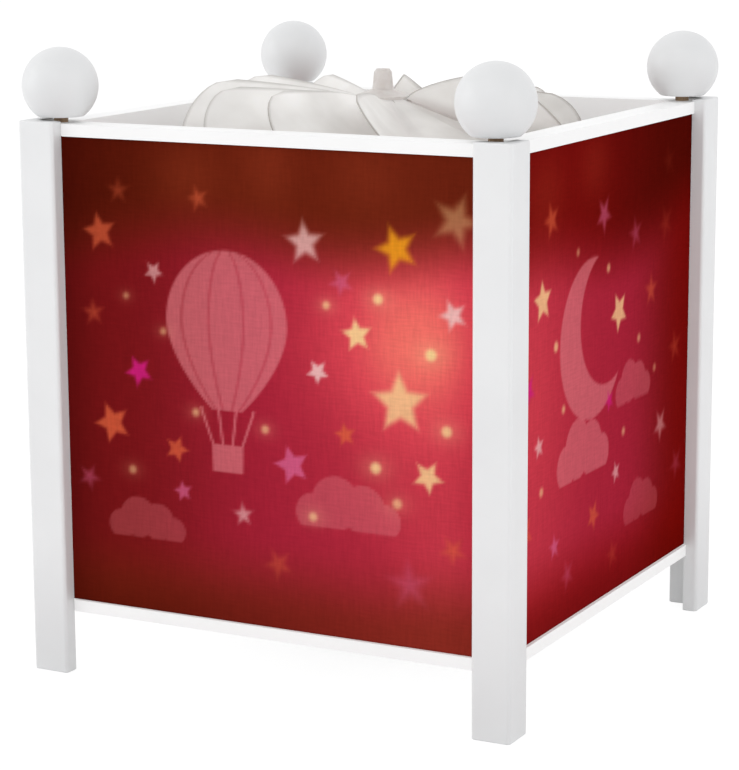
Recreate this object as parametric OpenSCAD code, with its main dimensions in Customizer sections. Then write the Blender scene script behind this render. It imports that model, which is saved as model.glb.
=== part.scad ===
// Rotating motion lamp: a square wooden lantern with four L-section corner posts, a ball on
// each corner and four printed sheets, round a film cylinder that turns on a needle. Warm air
// from the bulb drives the twelve-vane turbine on top of the cylinder.
// Millimetres, +Z up. The origin is on the table, under the middle of the lamp. The front
// faces -Y.

/* [Body] */
// Width across the outer faces of the corner posts
body_w = 165; // [150:1:200]
// Height of the corner posts
post_h = 173.5; // [165:0.5:200]
// Width of each leg of a post's L section
post_leg = 12.5; // [11:0.5:16]
// Thickness of each leg of a post's L section
post_t = 4.8; // [4:0.1:6]
// Rounding of a post's outer edges
post_edge_r = 1.2; // [0.4:0.1:1.8]
// Height of the base board's underside above the table
board_lift = 19.6; // [17:0.2:26]
// Thickness of the base board
board_t = 8; // [7:0.5:10]
// Depth of the top frame's rails
rail_h = 12; // [9:0.5:16]
// Distance of the top frame's upper face below the post tops
rail_drop = 0.8; // [0:0.1:3]
// Height of the lip that shows above and below each printed sheet
lip_h = 3.8; // [2.5:0.1:6]
// Distance of the lips' faces behind the posts' outer faces
face_inset = 3.7; // [2.5:0.1:3.9]
// Gap between the end of a lip and the post beside it
shoulder_gap = 1; // [0.3:0.1:2]

/* [Corner balls] */
// Diameter of a corner ball
ball_d = 23.4; // [18:0.2:25]
// Diameter of the flat under a corner ball
ball_flat_d = 14; // [8:0.5:15]
// Distance of a ball's centre from each outer face of its post
ball_inset = 9.5; // [9:0.1:9.7]
// Gap between a ball's flat and the top of its post
ball_gap = 0.9; // [0.3:0.1:2]
// Diameter of the dowel in a corner ball
dowel_d = 4.4; // [3:0.1:4.6]

/* [Printed sheets] */
// Thickness of a printed sheet
sheet_t = 0.6; // [0.4:0.1:0.8]
// Clearance on each side of a sheet
sheet_gap = 0.1; // [0.05:0.05:0.2]

/* [Rotor] */
// Diameter of the film cylinder
film_d = 127; // [120:1:132]
// Thickness of the cylinder's film
film_t = 0.5; // [0.3:0.1:0.8]
// Gap between the base board and the film cylinder
film_lift = 6; // [4:0.5:12]
// Height of the hoop round the cylinder's lower end
hoop_h = 6; // [3:0.5:10]
// Height of the collar round the cylinder's upper end
collar_h = 13; // [8:0.5:20]
// Wall of the hoop and of the collar
collar_t = 1; // [0.8:0.1:1.5]

/* [Turbine] */
// Number of vanes
vane_n = 12; // [8:1:14]
// Share of its pitch over which a vane rises, seen from above
vane_cover = 0.87; // [0.6:0.01:0.9]
// Lap of a vane's lower edge under the next vane, at the rim, in degrees
vane_lap = 20; // [4:0.5:22]
// Thickness of a vane
vane_t = 0.5; // [0.4:0.1:0.8]
// Height of a vane's root above the post tops, at the hub
hub_rise = 4.5; // [2:0.5:8]
// Fall of the vanes' lower edges from hub to rim
vane_fall = 22; // [14:1:24]
// Rise of the vanes' upper edges from hub to rim
vane_rise = 4; // [0:0.5:10]
// Rounding of a vane's outer upper corner
vane_corner_r = 17; // [8:1:20]
// Puff of a vane between hub and rim: 1 is straight, less is fuller
vane_puff = 0.85; // [0.7:0.05:1]
// Curl of a vane from its lower to its upper edge: 1 is flat, more is curlier
vane_curl = 1.5; // [1:0.1:2]
// Turn of the vanes about the hub at rest
vane_phase = 13.5; // [0:0.5:30]
// Height of the cap on the hub
cap_h = 8; // [5:0.5:12]

/* [Base] */
// Number of air holes in the base board
vent_n = 6; // [4:1:8]
// Diameter of an air hole
vent_d = 16; // [8:0.5:18]
// Distance of the air holes from the middle of the board
vent_ring_r = 50; // [46:0.5:52]

/* [Lamp and pivot] */
// Diameter of the bulb's glass
bulb_d = 32; // [24:1:40]
// Diameter of the pivot wire
wire_d = 2.4; // [2:0.1:3]
// Diameter of the needle
needle_d = 1.6; // [1.2:0.1:2]
// Width of the wiring cover under the base board
cover_w = 52; // [48:1:54]
// Gap between the wiring cover and the pivot wire's nuts
nut_gap = 1.8; // [0.5:0.1:4]
// Depth of the wiring cover
cover_h = 12; // [11:0.5:14]
// Bore of the cord gland
gland_bore_d = 5.2; // [4:0.1:6]
// Thickness of the two leads between the terminals and the lampholder
lead_d = 1.8; // [1.2:0.1:2.4]

/* [Hidden] */
$fn = 64;
eps = 0.01;
half_w = body_w / 2;
corner_in = half_w - post_t;               // inner corner of a post's L
opening_half = half_w - post_leg;          // half of the top frame's square opening
lip_half = half_w - face_inset;            // outer face of the lips
lip_run = half_w - post_leg - shoulder_gap;// half the length of a lip between two posts
sheet_out = corner_in - sheet_gap;         // outer face of a printed sheet
core_half = sheet_out - sheet_t - sheet_gap; // board and rails behind the sheets
sheet_edge_gap = 0.7;
sheet_half = core_half - sheet_edge_gap;   // half the width of a sheet
board_top = board_lift + board_t;
rail_top = post_h - rail_drop;
rail_low = rail_top - rail_h;
sheet_low = board_lift + lip_h;
sheet_high = rail_top - lip_h;

ball_r = ball_d / 2;
ball_drop = sqrt(ball_r * ball_r - ball_flat_d * ball_flat_d / 4);
ball_z = post_h + ball_gap + ball_drop;
ball_off = half_w - ball_inset;
dowel_r = dowel_d / 2;
dowel_floor = 1.5;                         // wood left under a dowel
dowel_rise = 2;                            // reach of a dowel past its ball's middle
dowel_low = rail_low + dowel_floor;
dowel_high = ball_z + dowel_rise;
fit = 0.05;                                // clearance of a glued or pressed piece

film_r = film_d / 2;
collar_r = film_r + fit + collar_t;        // outside of the collar and the hoop
film_low = board_top + film_lift;
hub_z = post_h + hub_rise;                 // lower face of the vanes at the hub
rim_z = hub_z - vane_fall;
root_r = 4;                                // inner ends of the vanes
clamp_r = 9;                               // the hub grips the vanes out to here
rim_r = collar_r - 0.2;                    // outer ends of the vanes
cone_slope = vane_fall / (rim_r - root_r);
vane_lift = vane_fall + vane_rise;         // height of a vane's upper edge over its lower one
vane_pitch = 360 / vane_n;
vane_span = vane_pitch * vane_cover;
root_lap = 1;                              // lap at the hub, which stays clear of the next vane
flange_w = 8;
flange_t = 0.8;
flange_in_r = collar_r - flange_w;
lap_spread = 0.5;                          // the lap spreads quickly at first, then slowly
film_high = cone_z(film_r) - flange_t - 2 * fit;
grip_gap = 0.1;                            // room for the vanes between cap and seat

cup_r = 2.5;
cup_h = 6;
cup_mouth_r = 1.8;
cup_depth = 5.2;
seat_h = 7;
seat_dip = 1.2;                            // depth of the seat's middle under the vanes' roots
seat_roof = 0.2;                           // least wall over the cup
seat_top = hub_z - seat_dip;
spigot_r = 3;
cup_low = seat_top - seat_roof - cup_h;
cup_apex = cup_low + cup_depth;
needle_gap = 0.08;
needle_tip = cup_apex - needle_gap;
needle_r = needle_d / 2;
needle_point_h = 2.6;

wire_r = wire_d / 2;
nut_r = 3.2;
nut_h = 2.2;
wire_x = cover_w / 2 + nut_gap + nut_r;
wire_drop = 16;                            // depth of the wire's top under the vanes' roots
wire_top = hub_z - wire_drop;
wire_bend_r = 10;
wire_end = 1.4;                            // wire that shows below its lower nut
wire_foot = board_lift - nut_h - wire_end;
ferrule_r = 3.2;
ferrule_h = 8;
ferrule_floor = 2;                         // depth left under the needle

holder_flange_r = 19;
holder_flange_h = 3;
holder_r = 12.5;
holder_h = 32;
holder_bore_r = 10.2;
sleeve_r = 10;
sleeve_in_r = 7.3;
sleeve_floor = 3;                          // height of the sleeve over the holder's floor
sleeve_low = board_top + holder_flange_h + sleeve_floor;
sleeve_h = 22;
contact_r = 3;
contact_h = 5;
screw_r = 1.5;
screw_head_r = 2.8;
screw_head_h = 1.9;
screw_bite = 5;                            // length of a screw in the board
pilot_extra = 0.5;                         // depth of a pilot hole past its screw
holder_screw_y = 15.5;
cap_r = 6.9;
cap_low = board_top + holder_flange_h + contact_h;
cap_len = 22;
bulb_r = bulb_d / 2;
neck_r = 6.6;
glass_t = 0.8;
insulator_h = 3;                           // height of the taper at the foot of the bulb's cap
insulator_in = 1;                          // its step in from the cap's wall
cap_floor = 5;
stem_h = 12;
stem_r = 4;
stem_top_r = 2.2;
stem_lift = 1;                             // height of the stem over the glass's foot
support_r = 0.35;
support_in = 1;                            // depth of the supports in the stem
support_foot_x = 1.4;
filament_x = 5;                            // half the length of the filament
filament_r = 0.7;
neck_in = 4;                               // length of the glass neck inside the cap
neck_len = 10;
neck_fillet_r = 12;
glass_low = cap_low + cap_len - neck_in;
bulb_z = glass_low + neck_len + bulb_r;

vent_r = vent_d / 2;
wire_hole_r = 5;
cover_wall = 2;
cover_low = board_lift - cover_h;
cover_post_r = 3.8;
cover_post_off = cover_w / 2 - cover_post_r;
cover_recess = 2;                          // recess for a screw's head
gland_gap = 0.3;                           // room over and under the gland in the cover
gland_wall = 1.3;
gland_r = gland_bore_d / 2 + gland_wall;
gland_flange_r = (cover_h - cover_wall) / 2 - gland_gap;
gland_lip_t = 1.2;
gland_out = 6;
gland_z = board_lift - gland_gap - gland_flange_r;
lead_r = lead_d / 2;
lead_x = 3;
lead_bend_r = 3;
lead_drop = 5;
lead_z = board_lift - lead_drop;
lead_in = 1.5;                             // depth of the leads' holes in the lampholder
block_w = 16;
block_d = 11;
block_h = 8;
block_y = 6;                               // front face of the terminal block
block_screw_r = 1.6;

CORNERS = [
    ["front_left", -1, -1], ["front_right", 1, -1],
    ["back_right", 1, 1], ["back_left", -1, 1]
];
SIDES = [["front", 0], ["right", 90], ["back", 180], ["left", 270]];

// ---- shared shapes --------------------------------------------------------------------

// What a quarter circle leaves of a square corner at the origin
module corner_waste(r) {
    difference() {
        translate([-eps, -eps]) square(r + eps);
        translate([r, r]) circle(r);
    }
}

// A ring between two radii
module ring(r_out, r_in, h) {
    difference() {
        cylinder(r = r_out, h = h);
        translate([0, 0, -1]) cylinder(r = r_in, h = h + 2);
    }
}

// Places its children at the four corners of the lamp, as the front left one is drawn
module at_corner(name) {
    for (c = CORNERS) if (c[0] == name)
        mirror([c[1] > 0 ? 1 : 0, 0, 0]) mirror([0, c[2] > 0 ? 1 : 0, 0]) children();
}

// Turns its children from the front of the lamp to another side
module at_side(name) {
    for (s = SIDES) if (s[0] == name) rotate([0, 0, s[1]]) children();
}

// ---- wooden frame ---------------------------------------------------------------------

// An L-section post: two legs round the lamp's corner, from the table to above the frame
module corner_post() {
    color("white") translate([-half_w, -half_w, 0]) linear_extrude(post_h) difference() {
        square(post_leg);
        translate([post_t, post_t]) square(post_leg);
        corner_waste(post_edge_r);
        translate([post_leg, 0]) mirror([1, 0]) corner_waste(post_edge_r);
        translate([0, post_leg]) mirror([0, 1]) corner_waste(post_edge_r);
    }
}

// A turned ball with a flat under it and a blind hole for its dowel
module corner_ball() {
    color("white") translate([-ball_off, -ball_off, 0]) difference() {
        translate([0, 0, ball_z]) sphere(ball_r);
        translate([0, 0, post_h + ball_gap - ball_r])
            cylinder(r = ball_r + 1, h = ball_r);
        translate([0, 0, post_h]) cylinder(r = dowel_r + fit, h = dowel_high + fit - post_h);
    }
}

// The dowels that hold the four balls on the ends of the front and back rails
module ball_dowels() {
    color("burlywood") for (x = [-ball_off, ball_off], y = [-ball_off, ball_off])
        translate([x, y, dowel_low]) cylinder(r = dowel_r, h = dowel_high - dowel_low);
}

// The front or back rail of the top frame: it runs through to the posts, and has a lip
// over the printed sheet and a blind hole for a dowel at each end
module long_rail() {
    color("white") difference() {
        union() {
            translate([-corner_in, -corner_in, rail_top - lip_h])
                cube([2 * corner_in, corner_in - opening_half, lip_h]);
            translate([-lip_run, -lip_half, rail_top - lip_h])
                cube([2 * lip_run, lip_half - opening_half, lip_h]);
            translate([-core_half, -core_half, rail_low])
                cube([2 * core_half, core_half - opening_half, rail_h]);
        }
        for (x = [-ball_off, ball_off]) translate([x, -ball_off, dowel_low - fit])
            cylinder(r = dowel_r + fit, h = rail_h);
    }
}

// A side rail of the top frame, drawn at the front: it fits between the long rails
module short_rail() {
    color("white") {
        translate([-opening_half, -corner_in, rail_top - lip_h])
            cube([2 * opening_half, corner_in - opening_half, lip_h]);
        translate([-lip_run, -lip_half, rail_top - lip_h])
            cube([2 * lip_run, lip_half - opening_half, lip_h]);
        translate([-opening_half, -core_half, rail_low])
            cube([2 * opening_half, core_half - opening_half, rail_h]);
    }
}

// The base board: lips under the printed sheets, a ring of air holes, and holes for the
// pivot wire, the wiring and the screws
module base_board() {
    color("white") difference() {
        union() {
            translate([-corner_in, -corner_in, board_lift])
                cube([2 * corner_in, 2 * corner_in, lip_h]);
            for (a = [0, 90]) rotate([0, 0, a]) translate([-lip_run, -lip_half, board_lift])
                cube([2 * lip_run, 2 * lip_half, lip_h]);
            translate([-core_half, -core_half, board_lift])
                cube([2 * core_half, 2 * core_half, board_t]);
        }
        for (k = [0 : vent_n - 1]) rotate([0, 0, (k + 0.5) * 360 / vent_n])
            translate([vent_ring_r, 0, board_lift - 1]) cylinder(r = vent_r, h = board_t + 2);
        translate([0, 0, board_lift - 1]) cylinder(r = wire_hole_r, h = board_t + 2);
        for (x = [-wire_x, wire_x]) translate([x, 0, board_lift - 1])
            cylinder(r = wire_r + fit, h = board_t + 2);
        for (y = [-holder_screw_y, holder_screw_y])
            translate([0, y, board_top - screw_bite - pilot_extra])
                cylinder(r = screw_r + fit, h = screw_bite + 2 * pilot_extra);
        for (x = [-cover_post_off, cover_post_off], y = [-cover_post_off, cover_post_off])
            translate([x, y, board_lift - pilot_extra])
                cylinder(r = screw_r + fit, h = screw_bite + 2 * pilot_extra);
    }
}

// ---- printed sheets -------------------------------------------------------------------

// A translucent sheet, held behind the posts' legs and between the upper and lower lips
module printed_sheet() {
    color("crimson") translate([-sheet_half, -sheet_out, sheet_low])
        cube([2 * sheet_half, sheet_t, sheet_high - sheet_low]);
}

// ---- wiring under the base board ------------------------------------------------------

// A shallow box over the lampholder's terminals, with a screw post in each corner
module wiring_cover() {
    h = cover_w / 2;
    color("whitesmoke") difference() {
        union() {
            difference() {
                translate([-h, -h, cover_low]) cube([cover_w, cover_w, cover_h]);
                translate([-h + cover_wall, -h + cover_wall, cover_low + cover_wall])
                    cube([cover_w - 2 * cover_wall, cover_w - 2 * cover_wall, cover_h]);
            }
            for (x = [-cover_post_off, cover_post_off], y = [-cover_post_off, cover_post_off])
                translate([x, y, cover_low]) cylinder(r = cover_post_r, h = cover_h);
        }
        for (x = [-cover_post_off, cover_post_off], y = [-cover_post_off, cover_post_off])
            translate([x, y, cover_low - 1]) {
                cylinder(r = screw_r + fit, h = cover_h + 2);
                cylinder(r = screw_head_r + fit, h = 1 + cover_recess + fit);
            }
        translate([0, h - cover_wall - 1, gland_z]) rotate([-90, 0, 0])
            cylinder(r = gland_r + fit, h = cover_wall + 2);
    }
}

// A round-headed screw, pointing up, with the underside of its head at z = 0
module screw(length) {
    translate([0, 0, -screw_head_h]) cylinder(r = screw_head_r, h = screw_head_h);
    cylinder(r = screw_r, h = length);
}

module cover_screws() {
    color("silver") for (x = [-cover_post_off, cover_post_off], y = [-cover_post_off, cover_post_off])
        translate([x, y, cover_low + cover_recess]) screw(cover_h - cover_recess + screw_bite);
}

// A rubber bush in the back wall of the wiring cover, where the cord goes in
module cord_gland() {
    color("dimgray") translate([0, cover_w / 2, gland_z]) rotate([-90, 0, 0]) difference() {
        union() {
            cylinder(r1 = gland_flange_r, r2 = gland_r, h = gland_out);
            translate([0, 0, -cover_wall - eps]) cylinder(r = gland_r, h = cover_wall + 2 * eps);
            translate([0, 0, -cover_wall - gland_lip_t])
                cylinder(r = gland_flange_r, h = gland_lip_t);
        }
        translate([0, 0, -cover_wall - 2]) cylinder(d = gland_bore_d, h = gland_out + cover_wall + 3);
    }
}

// A two-pole block: the leads come in from the front, the cord's wires from the back
module terminal_block() {
    color("gainsboro") difference() {
        translate([-block_w / 2, block_y, board_lift - block_h]) cube([block_w, block_d, block_h]);
        for (x = [-lead_x, lead_x]) {
            translate([x, block_y - 1, lead_z]) rotate([-90, 0, 0])
                cylinder(r = lead_r + fit, h = block_d + 2);
            translate([x, block_y + block_d / 2, board_lift - block_h - 1])
                cylinder(r = block_screw_r, h = block_h + 1 - (board_lift - lead_z));
        }
    }
}

// The leads: from the middle of the block, up through the board, into the lampholder
module lampholder_leads() {
    color("brown") for (x = [-lead_x, lead_x]) translate([x, 0, 0]) {
        translate([0, lead_bend_r, lead_z]) rotate([-90, 0, 0])
            cylinder(r = lead_r, h = block_y + block_d / 2 - lead_bend_r);
        translate([0, lead_bend_r, lead_z + lead_bend_r]) rotate([0, 90, 180])
            rotate_extrude(angle = 90) translate([lead_bend_r, 0]) circle(lead_r);
        translate([0, 0, lead_z + lead_bend_r])
            cylinder(r = lead_r, h = board_top + lead_in - fit - lead_z - lead_bend_r);
    }
}

// ---- lampholder and bulb --------------------------------------------------------------

module lampholder_body() {
    color("ivory") difference() {
        union() {
            translate([0, 0, board_top]) cylinder(r = holder_flange_r, h = holder_flange_h);
            translate([0, 0, board_top]) cylinder(r = holder_r, h = holder_h);
        }
        translate([0, 0, board_top + holder_flange_h]) cylinder(r = holder_bore_r, h = holder_h);
        for (y = [-holder_screw_y, holder_screw_y]) translate([0, y, board_top - 1])
            cylinder(r = screw_r + fit, h = holder_flange_h + 2);
        for (x = [-lead_x, lead_x]) translate([x, 0, board_top - 1])
            cylinder(r = lead_r + fit, h = lead_in + 1);
    }
}

module lampholder_sleeve() {
    color("gold") translate([0, 0, sleeve_low]) ring(sleeve_r, sleeve_in_r, sleeve_h);
}

module lampholder_contact() {
    color("gold") translate([0, 0, board_top + holder_flange_h])
        cylinder(r1 = contact_r + 1, r2 = contact_r, h = contact_h);
}

module lampholder_screws() {
    color("silver") for (y = [-holder_screw_y, holder_screw_y])
        translate([0, y, board_top + holder_flange_h]) mirror([0, 0, 1])
            screw(holder_flange_h + screw_bite);
}

// The bulb's screw cap: a closed shell with an insulator at its foot
module bulb_cap() {
    color("silver") translate([0, 0, cap_low]) difference() {
        union() {
            cylinder(r1 = contact_r, r2 = cap_r - insulator_in, h = insulator_h);
            translate([0, 0, insulator_h]) cylinder(r = cap_r, h = cap_len - insulator_h);
        }
        translate([0, 0, cap_floor]) cylinder(r = neck_r + fit, h = cap_len);
    }
}

// Half section of the bulb's glass, drawn in to its neck by a fillet; grow is the wall
module bulb_section(grow) {
    r = bulb_r + grow;
    n = neck_r + grow;
    fillet = neck_fillet_r - grow;
    drop = sqrt((r + fillet) * (r + fillet) - (n + fillet) * (n + fillet));
    intersection() {
        union() {
            translate([0, bulb_z]) circle(r);
            translate([0, glass_low]) square([n, bulb_z - glass_low]);
            difference() {
                share = r / (r + fillet);
                translate([0, bulb_z - drop])
                    square([(n + fillet) * share, drop * (1 - share)]);
                translate([n + fillet, bulb_z - drop]) circle(fillet);
            }
        }
        translate([0, glass_low - 1]) square([2 * r, 4 * r]);
    }
}

module bulb_glass() {
    color("lightyellow", 0.4) rotate_extrude() difference() {
        bulb_section(0);
        difference() {
            bulb_section(-glass_t);
            translate([-1, glass_low - 2]) square([2 * bulb_r, 3]);
        }
    }
}

// The glass stem with its two support wires and the filament across them
module bulb_filament() {
    filament_z = bulb_z - glass_low - stem_lift - filament_r;
    support_h = filament_z - stem_h + support_in;
    support_out = filament_x - support_foot_x;
    color("gray") translate([0, 0, glass_low + stem_lift]) {
        cylinder(r1 = stem_r, r2 = stem_top_r, h = stem_h);
        for (x = [-1, 1]) {
            translate([x * support_foot_x, 0, stem_h - support_in])
                rotate([0, x * atan(support_out / support_h), 0])
                    cylinder(r = support_r, h = sqrt(support_out * support_out + support_h * support_h));
        }
        translate([-filament_x, 0, filament_z]) rotate([0, 90, 0])
            cylinder(r = filament_r, h = 2 * filament_x);
    }
}

// ---- pivot ----------------------------------------------------------------------------

// A wire bent over the bulb, with a ferrule for the needle brazed to the middle of its top
module pivot_wire() {
    leg_h = wire_top - wire_bend_r - wire_foot;
    color("lightgray") difference() {
        union() {
            for (s = [0, 180]) rotate([0, 0, s]) {
                translate([wire_x, 0, wire_foot]) cylinder(r = wire_r, h = leg_h);
                translate([wire_x - wire_bend_r, 0, wire_top - wire_bend_r]) rotate([90, 0, 0])
                    rotate_extrude(angle = 90) translate([wire_bend_r, 0]) circle(wire_r);
                translate([0, 0, wire_top]) rotate([0, 90, 0])
                    cylinder(r = wire_r, h = wire_x - wire_bend_r);
            }
            translate([0, 0, wire_top - ferrule_h / 2]) cylinder(r = ferrule_r, h = ferrule_h);
        }
        translate([0, 0, wire_top - ferrule_h / 2 + ferrule_floor])
            cylinder(r = needle_r + fit, h = ferrule_h);
    }
}

module pivot_needle() {
    low = wire_top - ferrule_h / 2 + ferrule_floor;
    color("silver") translate([0, 0, low]) {
        cylinder(r = needle_r, h = needle_tip - needle_point_h - low);
        translate([0, 0, needle_tip - needle_point_h - low])
            cylinder(r1 = needle_r, r2 = 0.05, h = needle_point_h);
    }
}

// Hexagon nuts that clamp the wire's feet above and below the base board
module pivot_nuts() {
    color("silver") for (x = [-wire_x, wire_x], z = [board_lift - nut_h, board_top])
        translate([x, 0, z]) difference() {
            cylinder(r = nut_r, h = nut_h, $fn = 6);
            translate([0, 0, -1]) cylinder(r = wire_r + fit, h = nut_h + 2);
        }
}

// ---- rotor ----------------------------------------------------------------------------

module film_cylinder() {
    color("pink", 0.5) translate([0, 0, film_low])
        ring(film_r, film_r - film_t, film_high - film_low);
}

module cylinder_hoop() {
    color("white") translate([0, 0, film_low]) ring(collar_r, film_r + fit, hoop_h);
}

// Height of the vanes' lower edges over the turbine's cone
function cone_z(r) = hub_z - cone_slope * (r - root_r);

// The collar: a wall round the film's upper end, and a conical flange for the vanes
module turbine_collar() {
    low = rim_z - collar_h;
    color("white") rotate_extrude() polygon([
        [film_r + fit, low],
        [collar_r, low],
        [collar_r, cone_z(collar_r) - fit],
        [flange_in_r, cone_z(flange_in_r) - fit],
        [flange_in_r, cone_z(flange_in_r) - fit - flange_t],
        [film_r + fit, cone_z(film_r) - fit - flange_t]
    ]);
}

// A radius as a share of the way from the hub's grip to the rim
function vane_out(r) = max(0, r - clamp_r) / (rim_r - clamp_r);

// Lap of a vane's lower edge at a radius, in degrees: it spreads from the hub outwards
function vane_lap_at(r) = root_lap + (vane_lap - root_lap) * pow(vane_out(r), lap_spread);

// Outer radius of a vane at a share of its width, rounded off towards the upper edge
function vane_reach(share) =
    let (width = rim_r * (vane_span + vane_lap) * PI / 180,
         past = max(0, share * width - (width - vane_corner_r)))
    rim_r - vane_corner_r + sqrt(max(0, vane_corner_r * vane_corner_r - past * past));

// Height of a vane's lower face: its lap lies on the cone, and it leaves that slowly and
// rises over its span to its upper edge
function vane_z(r, a) =
    cone_z(r) + vane_lift * pow(vane_out(r), vane_puff) * pow(max(0, -a) / vane_span, vane_curl);

// A point of a vane, by its share of the width and its row: one row at the root, one where
// the hub lets go, and the rest crowded towards the rim
function vane_point(share, row, row_n, up) =
    let (crowd = 0.85,
         out = pow(max(0, row - 1) / (row_n - 2), crowd),
         r = row == 0 ? root_r : clamp_r + (vane_reach(share) - clamp_r) * out,
         a = vane_lap_at(r) - share * (vane_span + vane_lap_at(r)))
    [r * cos(a), r * sin(a), vane_z(r, a) + up];

// One vane as a closed sheet of triangles
module vane() {
    span_n = 12;
    out_n = 9;
    row_n = out_n + 1;
    layer_n = (span_n + 1) * row_n;
    points = [
        for (up = [0, vane_t], i = [0 : span_n], j = [0 : out_n])
            vane_point(i / span_n, j, row_n, up)
    ];
    faces = concat(
        [for (i = [0 : span_n - 1], j = [0 : out_n - 1], s = [0, 1])
            let (a = i * row_n + j, b = a + 1, c = a + row_n, d = c + 1)
            s == 0 ? [a, b, d] : [a, d, c]],
        [for (i = [0 : span_n - 1], j = [0 : out_n - 1], s = [0, 1])
            let (a = layer_n + i * row_n + j, b = a + 1, c = a + row_n, d = c + 1)
            s == 0 ? [a, d, b] : [a, c, d]],
        [for (i = [0 : span_n - 1], end = [0, out_n], s = [0, 1])
            let (a = i * row_n + end, c = a + row_n, a2 = a + layer_n, c2 = c + layer_n)
            end == 0 ? (s == 0 ? [a, c, c2] : [a, c2, a2])
                     : (s == 0 ? [a, c2, c] : [a, a2, c2])],
        [for (j = [0 : out_n - 1], end = [0, span_n], s = [0, 1])
            let (a = end * row_n + j, b = a + 1, a2 = a + layer_n, b2 = b + layer_n)
            end == 0 ? (s == 0 ? [a, b2, b] : [a, a2, b2])
                     : (s == 0 ? [a, b, b2] : [a, b2, a2])]
    );
    polyhedron(points, faces);
}

module turbine_vanes() {
    color("whitesmoke", 0.85) for (k = [0 : vane_n - 1])
        rotate([0, 0, vane_phase + k * vane_pitch]) vane();
}

// The clear cap on the hub: a tapered knob, a conical flange over the vanes' roots and a
// spigot down to the seat
module hub_cap() {
    knob_low_r = 3.4;
    knob_top_r = 2.65;
    low = vane_t + grip_gap;
    color("gainsboro", 0.8) rotate_extrude() polygon([
        [0, seat_top + fit],
        [spigot_r, seat_top + fit],
        [spigot_r, cone_z(spigot_r) + low],
        [clamp_r, cone_z(clamp_r) + low],
        [clamp_r, cone_z(clamp_r) + low + flange_t],
        [knob_low_r, cone_z(knob_low_r) + low + flange_t],
        [knob_top_r + 0.2, hub_z + cap_h - 1],
        [knob_top_r - 0.6, hub_z + cap_h],
        [0, hub_z + cap_h]
    ]);
}

// The seat under the vanes' roots, bored from below for the bearing cup
module hub_seat() {
    foot_r = 5;
    color("gainsboro") rotate_extrude() polygon([
        [0, seat_top],
        [spigot_r, seat_top],
        [spigot_r + 0.2, cone_z(spigot_r + 0.2) - fit],
        [clamp_r, cone_z(clamp_r) - fit],
        [clamp_r, cone_z(clamp_r) - 1.2],
        [foot_r, cone_z(clamp_r) - 3],
        [foot_r, seat_top - seat_h],
        [cup_r + fit, seat_top - seat_h],
        [cup_r + fit, cup_low + cup_h + fit],
        [0, cup_low + cup_h + fit]
    ]);
}

// The cup that rides on the needle's point
module bearing_cup() {
    color("goldenrod") difference() {
        translate([0, 0, cup_low]) cylinder(r = cup_r, h = cup_h);
        translate([0, 0, cup_low - eps])
            cylinder(r1 = cup_mouth_r, r2 = 0.02, h = cup_depth + eps);
    }
}

for (c = CORNERS) {
    at_corner(c[0]) corner_post();
    at_corner(c[0]) corner_ball();
}
ball_dowels();
at_side("front") long_rail();  // top_rail_front
at_side("right") short_rail();  // top_rail_right
at_side("back") long_rail();  // top_rail_back
at_side("left") short_rail();  // top_rail_left
base_board();
for (s = SIDES)
    at_side(s[0]) printed_sheet();
wiring_cover();
cover_screws();
cord_gland();
terminal_block();
lampholder_leads();
lampholder_body();
lampholder_sleeve();
lampholder_contact();
lampholder_screws();
bulb_cap();
bulb_glass();
bulb_filament();
pivot_wire();
pivot_needle();
pivot_nuts();
film_cylinder();
cylinder_hoop();
turbine_collar();
turbine_vanes();
hub_cap();
hub_seat();
bearing_cup();
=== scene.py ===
from math import cos, pi, radians, sin, sqrt

import bmesh
import bpy
import numpy as np
from mathutils import Matrix, Vector


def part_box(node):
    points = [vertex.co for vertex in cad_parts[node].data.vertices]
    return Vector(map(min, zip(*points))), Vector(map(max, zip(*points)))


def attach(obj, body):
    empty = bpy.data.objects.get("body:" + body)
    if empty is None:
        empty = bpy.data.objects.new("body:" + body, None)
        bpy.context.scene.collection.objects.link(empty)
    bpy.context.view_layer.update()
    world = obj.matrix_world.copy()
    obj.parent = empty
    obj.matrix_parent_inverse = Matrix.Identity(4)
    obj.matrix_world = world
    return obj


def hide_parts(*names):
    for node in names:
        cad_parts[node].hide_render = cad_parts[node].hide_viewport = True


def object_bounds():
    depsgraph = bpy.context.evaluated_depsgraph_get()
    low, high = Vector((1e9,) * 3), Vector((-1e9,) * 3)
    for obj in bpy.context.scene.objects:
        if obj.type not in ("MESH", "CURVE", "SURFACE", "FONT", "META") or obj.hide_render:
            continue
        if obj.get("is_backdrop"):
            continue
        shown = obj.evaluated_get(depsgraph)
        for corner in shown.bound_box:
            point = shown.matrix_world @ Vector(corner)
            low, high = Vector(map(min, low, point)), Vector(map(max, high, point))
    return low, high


# A rotating motion lamp: a white wooden lantern with four printed sheets, round a film
# cylinder that a twelve-vane turbine turns on a needle. Metres, +Z up, the front faces -Y.
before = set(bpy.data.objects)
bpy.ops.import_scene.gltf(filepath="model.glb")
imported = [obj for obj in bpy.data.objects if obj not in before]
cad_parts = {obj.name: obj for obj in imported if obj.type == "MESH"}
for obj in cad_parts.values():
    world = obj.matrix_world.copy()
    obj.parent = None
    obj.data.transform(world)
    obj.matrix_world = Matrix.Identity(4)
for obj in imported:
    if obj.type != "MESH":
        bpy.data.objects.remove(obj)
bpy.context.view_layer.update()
scene = bpy.context.scene
scene.view_settings.view_transform = "Standard"

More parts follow.
